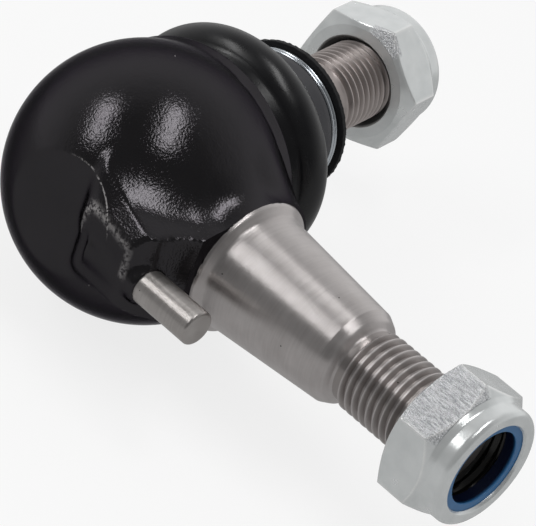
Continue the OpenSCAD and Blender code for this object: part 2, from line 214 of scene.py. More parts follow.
def softCorners(corners, stepAngle=rounding["stepAngle"]):  # a corner is radius, height and its own rounding
    points = []
    for index, corner in enumerate(corners):
        spot = Vector(corner[:2])
        radius = corner[2] if len(corner) > 2 else 0
        if radius == 0 or index in (0, len(corners) - 1):
            points.append(spot)
            continue
        before = Vector(corners[index - 1][:2]) - spot
        after = Vector(corners[index + 1][:2]) - spot
        roomBefore = rounding["mostOfSide"] * before.length
        roomAfter = rounding["mostOfSide"] * after.length
        opening = before.angle(after)
        reach = min(radius / math.tan(opening / 2), roomBefore, roomAfter)
        radius = reach * math.tan(opening / 2)
        inwards = (before.normalized() + after.normalized()).normalized()
        centre = spot + inwards * (radius / math.sin(opening / 2))
        first = spot + before.normalized() * reach - centre
        last = spot + after.normalized() * reach - centre
        turn = first.angle_signed(last)
        steps = max(2, math.ceil(abs(math.degrees(turn)) / stepAngle))
        guard = reach + rounding["guardGap"]  # keeps the long faces beside the corner evenly lit
        if guard < roomBefore:
            points.append(spot + before.normalized() * guard)
        for step in range(steps + 1):
            points.append(centre + Matrix.Rotation(-turn * step / steps, 2) @ first)
        if guard < roomAfter:
            points.append(spot + after.normalized() * guard)
    return points


def closerSteps(points, step):
    finer = [points[0]]
    for spot in points[1:]:
        start = finer[-1]
        count = max(1, math.ceil((spot - start).length / step))
        finer += [start.lerp(spot, index / count) for index in range(1, count + 1)]
    return finer


def drawProfile(name, points):  # a small plane merged to one point, then drawn out along the profile
    clearSelection()
    bpy.ops.mesh.primitive_plane_add(size=mm)
    piece = bpy.context.object
    piece.name = name
    piece.data.name = name
    spots = [Vector((r, 0, z)) * mm for r, z in points]
    bpy.ops.object.mode_set(mode="EDIT")
    bpy.ops.mesh.select_all(action="SELECT")
    bpy.ops.mesh.merge(type="CENTER")
    bpy.ops.transform.translate(value=spots[0])
    for start, end in zip(spots, spots[1:]):
        bpy.ops.mesh.extrude_vertices_move(TRANSFORM_OT_translate={"value": end - start})
    bpy.ops.mesh.select_all(action="SELECT")
    return piece


def lathe(name, points, steps=144):
    piece = drawProfile(name, points)
    bpy.ops.mesh.spin(steps=steps, angle=2 * math.pi, center=(0, 0, 0), axis=(0, 0, 1))
    bpy.ops.mesh.select_all(action="SELECT")
    bpy.ops.mesh.remove_doubles(threshold=mergeGap)
    bpy.ops.mesh.normals_make_consistent(inside=False)
    bpy.ops.object.mode_set(mode="OBJECT")
    return piece


def meshPoints(piece):
    spots = np.empty(len(piece.data.vertices) * 3)
    piece.data.vertices.foreach_get("co", spots)
    return spots.reshape(-1, 3) / mm


def setMeshPoints(piece, spots):
    piece.data.vertices.foreach_set("co", (spots * mm).ravel())
    piece.data.update()


def markPoints(piece, name, values):
    piece.data.attributes.new(name, "FLOAT", "POINT").data.foreach_set("value", values)


def settle(piece, place, sharp=40):  # place in the mesh, object at the origin, smooth faces with crisp edges
    piece.data.transform(place)
    piece.data.update()
    clearSelection()
    piece.select_set(True)
    bpy.context.view_layer.objects.active = piece
    bpy.ops.object.shade_smooth_by_angle(angle=math.radians(sharp))


def closeBetween(piece, other):  # joins two open shells and bridges their rims
    clearSelection()
    other.select_set(True)
    piece.select_set(True)
    bpy.context.view_layer.objects.active = piece
    bpy.ops.object.join()
    bpy.ops.object.mode_set(mode="EDIT")
    bpy.ops.mesh.select_mode(type="EDGE")
    bpy.ops.mesh.select_all(action="DESELECT")
    bpy.ops.mesh.select_non_manifold(extend=False, use_wire=False, use_boundary=True, use_multi_face=False,
                                     use_non_contiguous=False, use_verts=False)
    bpy.ops.mesh.bridge_edge_loops()
    bpy.ops.mesh.select_mode(type="VERT")
    bpy.ops.mesh.select_all(action="SELECT")
    bpy.ops.mesh.normals_make_consistent(inside=False)
    bpy.ops.object.mode_set(mode="OBJECT")


threadForm = {
    "pitch": 1.5, "crest": 7.0, "root": 6.2, "steps": 96, "spareTurns": 2,
    "rise": (0.18, 0.64), "fall": (0.86, 1.32),  # one tooth along the pitch
    "plainStart": 0.15, "floorRun": 1.1, "roofRun": 1.3, "floorBelow": 0.1, "core": 1.0,
}


def threadedRod(name, low, high, startRadius, chamfer):  # one pitch drawn, screwed round, cut to length
    form = threadForm
    pitch, crest, root = form["pitch"], form["crest"], form["root"]
    (riseFrom, riseTo), (fallFrom, fallTo) = form["rise"], form["fall"]
    tooth = [(root, 0), (root, riseFrom), (crest, riseTo), (crest, fallFrom), (root, fallTo), (root, pitch)]
    piece = drawProfile(name, [(r, z + low - form["spareTurns"] * pitch) for r, z in tooth])
    bpy.ops.object.mode_set(mode="OBJECT")
    screw = piece.modifiers.new("helix", "SCREW")
    screw.axis = "Z"
    screw.angle = 2 * math.pi
    screw.screw_offset = pitch * mm
    screw.iterations = math.ceil((high - low) / pitch) + 2 * form["spareTurns"]
    screw.steps = form["steps"]
    screw.render_steps = form["steps"]
    screw.use_merge_vertices = True
    screw.merge_threshold = mergeGap
    bpy.ops.object.modifier_apply(modifier=screw.name)
    bpy.ops.object.mode_set(mode="EDIT")
    for height, keepAbove in ((low, True), (high, False)):
        bpy.ops.mesh.select_all(action="SELECT")
        bpy.ops.mesh.bisect(plane_co=(0, 0, height * mm), plane_no=(0, 0, 1), use_fill=not keepAbove,
                            clear_inner=keepAbove, clear_outer=not keepAbove, threshold=cutGap)
    bpy.ops.mesh.select_all(action="SELECT")
    bpy.ops.mesh.remove_doubles(threshold=mergeGap)
    bpy.ops.object.mode_set(mode="OBJECT")
    spots = meshPoints(piece)
    radius = np.hypot(spots[:, 0], spots[:, 1])
    plainTo = low + form["plainStart"]
    floorRadius = np.interp(spots[:, 2], [low, plainTo, low + form["floorRun"]],
                            [startRadius, startRadius, root - form["floorBelow"]])
    roofRadius = np.interp(spots[:, 2], [low, plainTo, low + form["roofRun"], high - chamfer, high],
                           [startRadius, startRadius, crest, crest, crest - chamfer])
    wanted = np.minimum(np.maximum(radius, floorRadius), roofRadius)
    share = np.where(radius > form["core"], wanted / np.maximum(radius, form["core"]), 1)
    spots[:, 0] *= share
    spots[:, 1] *= share
    setMeshPoints(piece, spots)
    return piece


def markGrooves(piece, threadFrom):  # how deep a point lies in the thread
    spots = meshPoints(piece)
    radius = np.hypot(spots[:, 0], spots[:, 1])
    deep = np.clip((threadForm["crest"] - radius) / (threadForm["crest"] - threadForm["root"]), 0, 1)
    markPoints(piece, "groove", np.where(spots[:, 2] > threadFrom, deep, 0))


# forged housing: an ico ball drawn out along its rays to the forged form, then cut at mouth and collar
forging = {
    "ballRadius": 22.89, "flatDepth": 20.58, "flatFacing": (0.1355, -0.9881, 0.0723), "flatEdge": 0.35,
    "mouthRadius": 21.0, "mouthHeight": 11.4, "mouthSpare": 1.0, "bandFoot": 9.0, "bandEdge": 0.25,
    "neckRadius": 12.0, "neckReach": 24.25, "neckSpare": 1.5, "neckBlend": 3.8,
    "neckMore": 4.5, "moreFrom": 2.0, "moreTo": 9.0,  # the neck's fillet grows towards the mouth
    "lugUpper": 6.0, "lugLower": 4.9, "lugFace": 22.3, "lugBackFace": 21.1,
    "lugStart": 7.5, "lugReach": 21.3, "lugToe": 18.6, "lugRoot": 13.0, "rootRound": 2.0,
    "lugDraft": 1.33, "underDraft": 0.35, "lugBackDraft": 0.35, "lugEdge": 0.7, "lugCorner": 2.2,
    "topFacing": (0.2009, -0.1005, 0.9744), "topHeight": 14.61, "topEdge": 0.25, "deepest": 22.38,
    "lugFoot": 1.8, "lugBroad": 3.6, "broadFrom": 3.0, "broadTo": 7.0, "broadAbove": 4.0,
    "webFrom": (19.7, 19.0), "webTo": (23.9, 13.0), "webEdge": 0.35, "webBlend": 2.0,
    "edgeFrom": 19.0, "edgeTo": 21.0,  # where the lug's edge turns into the web's
    "bossRadius": 3.5, "bossFrom": 10.0, "bossReach": 21.4, "bossBlend": 0.8, "pinOffset": 18.8,
    "rimRound": 0.25, "rimCut": 0.07, "sharp": 32,
    "socket": [(18.5, 11.4), (18.5, 10.8), (19.1, 10.8), (19.1, 6.8), (16.6, 6.8), (16.6, 0.0), (14.4, -8.3),
               (8.3, -14.4)],
    "socketPole": -16.6,
}
rayHunt = {"subdivisions": 7, "from": 44.0, "to": 9.0, "stride": 0.5, "core": 4.0, "halvings": 24}
# where chips and a painted highlight go: the crease of the flat and the lug's upper edges
edgeWearAndGlint = {"creaseWide": 0.5, "creaseAlong": (0, 3), "creaseAbove": (4, 7),
             "edgeSpread": 0.1, "upperAbove": (1, 3), "toeAbove": (0, 2)}
shankInStud = studFrame.to_3x3().transposed() @ shankAxis


def softMin(first, second, width):
    near = np.maximum(width - np.abs(first - second), 0)
    return np.minimum(first, second) - near * near / (4 * width)


def softMax(first, second, width):
    return -softMin(-first, -second, width)


def slope(value, low, high):
    share = np.clip((value - low) / (high - low), 0, 1)
    return share * share * (3 - 2 * share)


def forgedParts(spots):  # distance to each surface, below zero inside; spots in mm in the stud frame
    form = forging
    x, y, z = np.array(studFrame.to_3x3()) @ spots.T
    down = -y
    part = {"x": x, "y": y, "z": z, "along": spots[:, 2], "around": np.hypot(spots[:, 0], spots[:, 1])}
    part["round"] = np.linalg.norm(spots, axis=1) - form["ballRadius"]
    part["flat"] = np.array(form["flatFacing"]) @ np.array((x, y, z)) - form["flatDepth"]
    depth = np.minimum(form["lugFace"] - down, form["lugRoot"])
    shoulder = (z - form["lugUpper"] - form["lugDraft"] * depth) / math.hypot(1, form["lugDraft"])
    top = np.array(form["topFacing"]) @ np.array((x, y, z)) - form["topHeight"]
    under = (-z - form["lugLower"] - form["underDraft"] * depth) / math.hypot(1, form["underDraft"])
    flank = np.maximum(softMax(shoulder, top, form["topEdge"]), under)
    back = form["lugStart"] - x + form["lugBackDraft"] * (down - form["lugBackFace"])
    part["sides"] = softMax(flank, back / math.hypot(1, form["lugBackDraft"]), form["lugCorner"])
    root = form["lugFace"] - form["lugRoot"] - down
    rise = (form["lugFace"] - form["lugBackFace"]) / (form["lugToe"] - form["lugStart"])
    part["face"] = (down - form["lugFace"] - rise * (x - form["lugToe"])) / math.hypot(1, rise)
    lean = (form["lugReach"] - form["lugToe"]) / (form["lugFace"] - form["pinOffset"])
    part["end"] = (x - form["lugReach"] + lean * np.maximum(down - form["pinOffset"], 0)) / math.hypot(1, lean)
    outline = softMax(part["face"], part["end"], form["lugEdge"])
    (webX, webDown), (endX, endDown) = form["webFrom"], form["webTo"]
    tilt = (endX - webX) / (webDown - endDown)
    ramp = (x - webX - tilt * (webDown - down)) / math.hypot(1, tilt)
    outline = softMin(outline, np.maximum(ramp, down - webDown), form["webBlend"])
    edge = form["lugEdge"] + (form["webEdge"] - form["lugEdge"]) * slope(x, form["edgeFrom"], form["edgeTo"])
    lug = softMax(softMax(part["sides"], outline, edge), root, form["rootRound"])
    boss = np.hypot(down - form["pinOffset"], z) - form["bossRadius"]
    boss = softMax(boss, x - form["bossReach"], form["lugEdge"])
    part["lug"] = softMin(lug, np.maximum(boss, form["bossFrom"] - x), form["bossBlend"])
    return part


def forgedForm(spots):
    form, part = forging, forgedParts(spots)
    ball = softMax(part["round"], part["flat"], form["flatEdge"])
    roof = part["along"] - form["mouthHeight"] - form["mouthSpare"]
    rim = np.maximum(np.maximum(part["around"] - form["mouthRadius"], roof), -part["along"])
    ball = softMin(ball, rim, form["bandEdge"])
    broad = slope(part["x"], form["broadFrom"], form["broadTo"]) * slope(part["z"], 0, form["broadAbove"])
    raw = softMin(ball, part["lug"], form["lugFoot"] + (form["lugBroad"] - form["lugFoot"]) * broad)
    neck = np.hypot(part["y"], part["z"]) - form["neckRadius"]
    neck = np.maximum(neck, part["x"] - form["neckReach"] - form["neckSpare"])
    fillet = form["neckBlend"] + form["neckMore"] * slope(part["y"], form["moreFrom"], form["moreTo"])
    raw = softMin(raw, np.maximum(neck, -part["x"]), fillet)
    raw = softMax(raw, -part["y"] - form["deepest"], form["bandEdge"])
    turned = np.minimum(part["around"] - form["mouthRadius"], part["along"] - form["bandFoot"])
    return softMax(raw, turned, form["bandEdge"])


def wornAndGlintingEdges(spots):  # where the paint is rubbed and where a painted highlight stands in for the edges' sheen: the crease of the flat and the upper edges of the lug
    wearGlint, part = edgeWearAndGlint, forgedParts(spots)
    crease = np.exp(-((part["round"] - part["flat"]) / wearGlint["creaseWide"]) ** 2)
    crease = crease * slope(part["x"], *wearGlint["creaseAlong"]) * slope(part["z"], *wearGlint["creaseAbove"])
    upper = np.exp(-(part["face"] ** 2 + part["sides"] ** 2) / wearGlint["edgeSpread"])
    upper = upper * slope(part["z"], *wearGlint["upperAbove"])
    toe = np.exp(-(part["face"] ** 2 + part["end"] ** 2) / wearGlint["edgeSpread"])
    toe = toe * slope(part["z"], *wearGlint["toeAbove"])
    return crease, np.maximum(upper, toe)


def drawToForm(piece):  # each point goes out or in along its ray until it meets the forged form
    spots = meshPoints(piece)
    rays = spots / np.linalg.norm(spots, axis=1)[:, None]
    outer = np.full(len(rays), rayHunt["from"])
    inner = np.full(len(rays), rayHunt["core"])
    found = np.zeros(len(rays), bool)
    for reach in np.arange(rayHunt["from"], rayHunt["to"], -rayHunt["stride"]):
        inside = (forgedForm(rays * reach) < 0) & ~found
        inner[inside] = reach
        outer[inside] = reach + rayHunt["stride"]
        found |= inside
    for step in range(rayHunt["halvings"]):
        middle = (inner + outer) / 2
        inside = forgedForm(rays * middle[:, None]) < 0
        inner = np.where(inside, middle, inner)
        outer = np.where(inside, outer, middle)
    setMeshPoints(piece, rays * inner[:, None])


def cutSocket():  # from the open rim inwards, ring by ring, to the pole of the socket
    form = forging
    rim = [(form["mouthRadius"] - form["rimCut"], form["mouthHeight"] - form["rimCut"]),
           (form["mouthRadius"] - form["rimRound"], form["mouthHeight"])]
    radius, height = form["mouthRadius"], form["mouthHeight"] - form["rimRound"]
    for nextRadius, nextHeight in rim + form["socket"]:
        bpy.ops.mesh.extrude_edges_move(TRANSFORM_OT_translate={"value": (0, 0, (nextHeight - height) * mm)})
        size = nextRadius / radius
        bpy.ops.transform.resize(value=(size, size, 1), center_override=(0, 0, nextHeight * mm))
        radius, height = nextRadius, nextHeight
    toPole = (0, 0, (form["socketPole"] - height) * mm)
    bpy.ops.mesh.extrude_edges_move(TRANSFORM_OT_translate={"value": toPole})
    bpy.ops.mesh.merge(type="CENTER")


def forgeHousing():
    clearSelection()
    bpy.ops.mesh.primitive_ico_sphere_add(subdivisions=rayHunt["subdivisions"],
                                          radius=forging["ballRadius"] * mm)
    piece = bpy.context.object
    piece.name = "forgedHousing"
    piece.data.name = "forgedHousing"
    drawToForm(piece)
    bpy.ops.object.mode_set(mode="EDIT")
    collar = shankInStud * forging["neckReach"] * mm
    bpy.ops.mesh.select_all(action="SELECT")
    bpy.ops.mesh.bisect(plane_co=collar, plane_no=shankInStud, use_fill=True, clear_outer=True,
                        threshold=cutGap)
    bpy.ops.mesh.select_all(action="SELECT")
    rimHeight = forging["mouthHeight"] - forging["rimRound"]
    bpy.ops.mesh.bisect(plane_co=(0, 0, rimHeight * mm), plane_no=(0, 0, 1), clear_outer=True,
                        threshold=cutGap)
    cutSocket()
    bpy.ops.mesh.select_all(action="SELECT")
    bpy.ops.mesh.normals_make_consistent(inside=False)
    bpy.ops.object.mode_set(mode="OBJECT")
    # marks for chips and a painted highlight along the crease and the lug's upper edges
    crease, rubbedAndGlinting = wornAndGlintingEdges(meshPoints(piece))
    markPoints(piece, "crease", crease)
    markPoints(piece, "rubbedAndGlinting", rubbedAndGlinting)
    settle(piece, studFrame, sharp=forging["sharp"])
    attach(piece, "housing")
    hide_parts("housing")
    return piece


# bare turned shank with a real thread
shank = {
    "profile": [(0, -2.0), (11.3, -2.0, 0), (12.02, -0.9, 0.15), (11.85, -0.35, 0.5), (10.62, 0.65, 0.9),
                (10.48, 1.5, 1.0), (8.6, 23.3, 0.2), (7.75, 25.0, 0.9), (6.5, 25.6, 0.5), (6.4, 26.2)],
    "threadFrom": 26.2, "threadTo": 47.4, "chamfer": 1.0, "undercut": 6.4, "sharp": 38,
}


def turnShank():
    piece = lathe("taperShank", softCorners(shank["profile"]))
    rod = threadedRod("shankThread", shank["threadFrom"], shank["threadTo"], shank["undercut"],
                      shank["chamfer"])
    closeBetween(piece, rod)
    markGrooves(piece, shank["threadFrom"])
    settle(piece, shankFrame, sharp=shank["sharp"])
    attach(piece, "housing")
    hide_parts("housing")
    return piece


locatingPin = {"from": -11.79, "to": 7.9, "radius": 3.0, "endRound": 0.45, "footRound": 0.3, "steps": 96}


def turnPin():
    pin = locatingPin
    profile = [(0, pin["from"]), (pin["radius"], pin["from"], pin["footRound"]),
               (pin["radius"], pin["to"], pin["endRound"]), (0, pin["to"])]
    piece = lathe("locatingPin", softCorners(profile), steps=pin["steps"])
    place = shankFrame.copy()
    place.translation = shankStart + Vector((0, pinAxisPoint.y, 0))
    settle(piece, place)
    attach(piece, "housing")
    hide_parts("locating_pin")
    return piece


# ball stud: turned ball, neck and collar, then a rolled thread
ballStud = {
    "ballRadius": 13.5, "ballFlat": -12.0, "neckRadius": 7.2, "ballSteps": 40,
    "profile": [(7.2, 14.5, 1.5), (8.4, 31.2, 1.0), (9.4, 32.2, 0.3), (9.4, 36.4, 0.3), (6.75, 36.4, 0.3),
                (6.75, 45.6)],
    "threadFrom": 45.6, "threadTo": 64.4, "chamfer": 1.0, "plain": 6.75, "sharp": 38,
}


def turnStud():
    stud = ballStud
    radius = stud["ballRadius"]
    low = math.asin(stud["ballFlat"] / radius)
    high = math.acos(stud["neckRadius"] / radius)
    arc = [(radius * math.cos(a), radius * math.sin(a)) for a in np.linspace(low, high, stud["ballSteps"])]
    ball = [Vector((0, stud["ballFlat"]))] + [Vector(spot) for spot in arc]
    piece = lathe("ballStud", ball + softCorners([arc[-1]] + stud["profile"])[1:])
    rod = threadedRod("studThread", stud["threadFrom"], stud["threadTo"], stud["plain"], stud["chamfer"])
    closeBetween(piece, rod)
    markGrooves(piece, stud["threadFrom"])
    settle(piece, studFrame, sharp=stud["sharp"])
    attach(piece, "stud")
    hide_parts("ball_stud")
    return piece


# lock nuts: a turned blank with six flats milled off it, and a nylon ring rolled in under the crown
lockNut = {
    "flats": 22.0, "bore": 7.02, "flatEdge": 0.3, "cornerStep": 9, "outlineStep": 0.25, "steps": 288,
    "sharp": 30,
    "profile": [(7.02, 1.3), (8.25, 0, 0.08), (10.1, 0, 0.15), (12.70, 1.25, 0.3), (12.70, 6.6, 0.4),
                (10.9, 8.05, 0.5), (10.45, 9.0, 0.9), (10.4, 11.95, 1.5), (8.2, 11.95, 0.45), (7.85, 11.3, 0.1),
                (8.61, 11.3), (8.61, 9.09), (7.02, 9.09), (7.02, 1.3)],
    "threadPitch": 1.5, "threadDepth": 0.55, "threadFrom": 1.4, "threadTo": 8.9, "boreSpare": 0.02,
    "edgeWide": 0.16, "edgeAbove": (0.3, 1.0), "scuffSoft": 3,
    # painted shade: where the bore, its countersink and the crown's inner edge are coloured nearly black
    "mouthBelow": 2.0, "mouthShade": 0.9, "mouthEdge": (8.3, 7.9), "mouthAbove": (0.02, 0.3),
    "crownEdge": (7.8, 7.4),
    "ring": [(6.6, 9.1, 0.2), (8.6, 9.1, 0.1), (8.6, 11.3, 0.1), (6.6, 11.3, 0.2), (6.6, 10.95), (6.6, 10.7),
             (6.6, 9.1)],
    # ringShade places a painted shade on the nylon ring's inner wall
    "ringSteps": 128, "ringShade": (11.15, 10.8),
}
nutPlaces = {
    "shankNut": {"frame": shankFrame, "at": 41.1, "turn": 31.2, "body": "housing", "node": "shank_nut",
                 "scuffed": 90, "scuffWide": 30, "scuffFrom": 0.5, "scuffTo": 8.2, "scuffInner": 10.95},
    "studNut": {"frame": studFrame, "at": 56.9, "turn": -10.8, "body": "stud", "node": "stud_nut",
                "scuffed": -60, "scuffWide": 17, "scuffFrom": 0.02, "scuffTo": 1.5, "scuffInner": 9.9},
}


def millNut(name):
    nut, spot = lockNut, nutPlaces[name]
    turned = Matrix.Rotation(math.radians(spot["turn"]), 4, "Z")
    place = spot["frame"] @ Matrix.Translation((0, 0, spot["at"] * mm)) @ turned
    profile = closerSteps(softCorners(nut["profile"], nut["cornerStep"]), nut["outlineStep"])
    piece = lathe(name, profile, steps=nut["steps"])
    spots = meshPoints(piece)
    height = spots[:, 2]
    radius = np.hypot(spots[:, 0], spots[:, 1])
    angle = np.degrees(np.arctan2(spots[:, 1], spots[:, 0]))
    flat = nut["flats"] / 2 / np.cos(np.radians(np.mod(angle, 60) - 30))
    share = softMin(radius, flat, nut["flatEdge"]) / radius
    turn = np.abs(np.mod(height / nut["threadPitch"] + angle / 360, 1) * 2 - 1)  # thread in the bore
    threaded = (height > nut["threadFrom"]) & (height < nut["threadTo"])
    inBore = (radius < nut["bore"] + nut["boreSpare"]) & threaded
    share = np.where(inBore, (nut["bore"] + nut["threadDepth"] * turn) / nut["bore"], share)
    spots[:, 0] *= share
    spots[:, 1] *= share
    setMeshPoints(piece, spots)
    # the nut's edges are marked to be lighter: partly rubbed zinc, partly a painted highlight
    edge = np.exp(-((radius - flat) / nut["edgeWide"]) ** 2)
    markPoints(piece, "edge", edge * slope(height, *nut["edgeAbove"]))
    # painted shade: the bore and its countersink are marked to be coloured nearly black
    mouth = nut["mouthShade"] * slope(radius, *nut["mouthEdge"]) * slope(height, *nut["mouthAbove"])
    markPoints(piece, "bore", np.where(height < nut["mouthBelow"], mouth, slope(radius, *nut["crownEdge"])))
    aside = np.abs(np.mod(angle - spot["scuffed"] + 180, 360) - 180)
    fade = slope(aside, spot["scuffWide"] + nut["scuffSoft"], spot["scuffWide"] - nut["scuffSoft"])
    worn = (height > spot["scuffFrom"]) & (height < spot["scuffTo"]) & (radius > spot["scuffInner"])
    markPoints(piece, "scuff", np.where(worn, fade, 0))
    settle(piece, place, sharp=nut["sharp"])
    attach(piece, spot["body"])
    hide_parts(spot["node"])
    ring = lathe(name + "Ring", softCorners(nut["ring"]), steps=nut["ringSteps"])
    # painted shade: the nylon ring's wall below its top is marked to be coloured dark navy
    markPoints(ring, "bore", slope(meshPoints(ring)[:, 2], *nut["ringShade"]))
    settle(ring, place)
    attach(ring, spot["body"])
    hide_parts(spot["node"] + "_insert")
    return piece, ring


# rubber boot: one spun bellows between housing and stud, with a torn flash line on its lip
rubberBoot = {
    "outer": [(18.8, 8.6, 0.3), (18.8, 10.5, 0.2), (18.2, 10.5, 0.1), (18.2, 11.8, 0.6), (16.6, 13.95, 1.8)],
    "foldCentre": (16.5, 20.1), "foldRound": 4.0, "foldFrom": -62, "foldTo": 78, "foldPoints": 28, "wall": 1.4,
    "neck": [(12.4, 28.2, 3.0), (10.95, 29.7, 1.5), (11.9, 33.6, 0.6), (12.0, 34.45, 0.2), (11.2, 34.6, 0.15),
             (11.2, 36.2, 0.1), (13.1, 36.2, 0.12), (13.1, 37.15, 0.15), (6.95, 37.0, 0.3), (6.95, 36.5, 0.1),
             (9.7, 36.5)],
    "inner": [(9.7, 28.9, 1.5), (11.0, 27.5, 1.5)],
    "innerFoot": [(15.2, 13.95, 1.0), (16.6, 11.4, 0.5), (16.6, 8.6, 0.2), (18.8, 8.6)],
    "cornerStep": 10, "outlineStep": 0.6, "steps": 256, "sharp": 60, "bendFrom": 12.0, "bendTo": 33.0,
    "flash": 0.14, "flashBeyond": 12.7, "flashAbove": 36.0, "teethRound": 2.1, "teethUp": 0.5, "teethBack": 0.5,
    # these keys place a painted highlight, a lighter grey band round the boot's neck
    "litNeckAbove": (29.5, 30.5), "litNeckBelow": (34.7, 34.5), "litNeckWithin": (12.6, 12.3),
    "lipAbove": (35.9, 36.2), "lipBeyond": (10.9, 11.5),
}


def moldBoot():
    boot = rubberBoot
    centre = Vector(boot["foldCentre"])
    turns = np.radians(np.linspace(boot["foldFrom"], boot["foldTo"], boot["foldPoints"]))
    thick = boot["foldRound"]
    thin = boot["foldRound"] - boot["wall"]
    fold = [(centre.x + thick * math.cos(a), centre.y + thick * math.sin(a)) for a in turns]
    foldInside = [(centre.x + thin * math.cos(a), centre.y + thin * math.sin(a)) for a in reversed(turns)]
    corners = boot["outer"] + fold + boot["neck"] + boot["inner"] + foldInside + boot["innerFoot"]
    profile = closerSteps(softCorners(corners, boot["cornerStep"]), boot["outlineStep"])
    piece = lathe("rubberBoot", profile, steps=boot["steps"])
    spots = meshPoints(piece)
    height = spots[:, 2]
    radius = np.hypot(spots[:, 0], spots[:, 1])
    for index in np.where((radius > boot["flashBeyond"]) & (height > boot["flashAbove"]))[0]:
        x, y, z = spots[index]
        place = Vector((x * boot["teethRound"], y * boot["teethRound"], z * boot["teethUp"]))
        teeth = (noise.noise(place) - boot["teethBack"]) * boot["flash"]  # small and uneven along the lip
        spots[index, :2] *= 1 + teeth / radius[index]
    setMeshPoints(piece, spots)
    # painted highlight: the boot's neck is marked for a lighter grey band
    neck = slope(height, *boot["litNeckAbove"]) * slope(height, *boot["litNeckBelow"])
    markPoints(piece, "neck", neck * slope(radius, *boot["litNeckWithin"]))
    markPoints(piece, "lip", slope(height, *boot["lipAbove"]) * slope(radius, *boot["lipBeyond"]))
    settle(piece, studFrame, sharp=boot["sharp"])
    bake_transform(piece)
    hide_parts("boot")
    return piece


# two turns of spring wire in the boot's groove
springWire = {"radius": 11.75, "wire": 0.76, "middle": 35.35, "pitch": 0.73, "turns": 2.1, "startAngle": 150,
              "stepShare": 0.1, "points": 260, "roundSteps": 5, "sharp": 50}


def windWire():
    coil = springWire
    clearSelection()
    bpy.ops.curve.primitive_nurbs_path_add()
    piece = bpy.context.object
    piece.name = "springWire"
    curve = piece.data
    curve.name = "springWire"
    curve.splines.clear()
    path = curve.splines.new("POLY")
    path.points.add(coil["points"] - 1)
    for index in range(coil["points"]):
        turned = coil["turns"] * index / (coil["points"] - 1)
        ramp = min(max((turned - coil["turns"] / 2) / coil["stepShare"] + 0.5, 0), 1)
        rise = (ramp * ramp * (3 - 2 * ramp) - 0.5) * coil["pitch"]
        angle = math.radians(coil["startAngle"]) + turned * 2 * math.pi
        path.points[index].co = (coil["radius"] * math.cos(angle) * mm, coil["radius"] * math.sin(angle) * mm,
                                 (coil["middle"] + rise) * mm, 1)
    curve.dimensions = "3D"
    curve.bevel_depth = coil["wire"] / 2 * mm
    curve.bevel_resolution = coil["roundSteps"]
    curve.use_fill_caps = True
    bpy.ops.object.convert(target="MESH")
    piece = bpy.context.object
    bpy.ops.object.mode_set(mode="EDIT")
    bpy.ops.mesh.select_all(action="SELECT")
    bpy.ops.mesh.remove_doubles(threshold=mergeGap)
    bpy.ops.mesh.normals_make_consistent(inside=False)
    bpy.ops.object.mode_set(mode="OBJECT")
    settle(piece, studFrame, sharp=coil["sharp"])
    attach(piece, "clamp")
    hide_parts("boot_clamp_upper")
    return piece


housingPiece = forgeHousing()
print("housing forged", len(housingPiece.data.polygons))
shankPiece = turnShank()
pinPiece = turnPin()
print("shank and pin turned", len(shankPiece.data.polygons))
studPiece = turnStud()
print("stud turned", len(studPiece.data.polygons))
nutPieces, ringPieces = zip(*[millNut(name) for name in nutPlaces])
print("nuts milled", len(nutPieces[0].data.polygons))
bootPiece = moldBoot()
wirePiece = windWire()
print("boot and wire on", len(bootPiece.data.polygons))


# finishes; lengths here are in metres and scales are per metre
noiseSpan = (0.3, 0.7)  # most of a noise lies in this range


def newFinish(name, settings):
    finish = bpy.data.materials.new(name)
    finish.use_nodes = True
    tree = finish.node_tree
    shader = tree.nodes["Principled BSDF"]
    for key, value in settings.items():
        shader.inputs[key].default_value = value
    spot = addNode(tree, "TexCoord").outputs["Object"]
    return finish, tree, shader, spot


def dress(piece, finish):
    piece.data.materials.clear()
    piece.data.materials.append(finish)


def grain(tree, spot, scale, detail=2.0, rough=0.5, stretch=None):
    if stretch:
        spot = addNode(tree, "Mapping", {"Vector": spot, "Scale": stretch}).outputs[0]
    settings = {"Vector": spot, "Scale": scale, "Detail": detail, "Roughness": rough}
    return addNode(tree, "TexNoise", settings).outputs["Fac"]


def spread(tree, value, low, high, toLow, toHigh):
    return addNode(tree, "MapRange", {"Value": value, "From Min": low, "From Max": high, "To Min": toLow,
                                      "To Max": toHigh}).outputs[0]


def tint(tree, share, first, second):
    mixed = addNode(tree, "Mix", {"Factor": share}, data_type="RGBA")
    mixed.inputs["A"].default_value = (*first, 1)
    mixed.inputs["B"].default_value = (*second, 1)
    return mixed.outputs["Result"]


def over(tree, share, under, top):  # colour laid over another by a mask
    mixed = addNode(tree, "Mix", {"Factor": share, "A": under}, data_type="RGBA")
    if isinstance(top, tuple):
        mixed.inputs["B"].default_value = (*top, 1)
    else:
        tree.links.new(top, mixed.inputs["B"])
    return mixed.outputs["Result"]


def bumpOf(tree, height, depth, under=None):
    inputs = {"Height": height, "Strength": 1.0, "Distance": depth}
    if under:
        inputs["Normal"] = under
    return addNode(tree, "Bump", inputs).outputs["Normal"]


def mixOf(tree, share, first, second):
    mixed = addNode(tree, "Mix", {"Factor": share, "A": first, "B": second}, data_type="FLOAT")
    return mixed.outputs["Result"]


def marked(tree, name):
    return addNode(tree, "Attribute", attribute_name=name).outputs["Fac"]


def both(tree, first, second, operation="MULTIPLY"):
    return addNode(tree, "Math", {0: first, 1: second}, operation=operation).outputs[0]


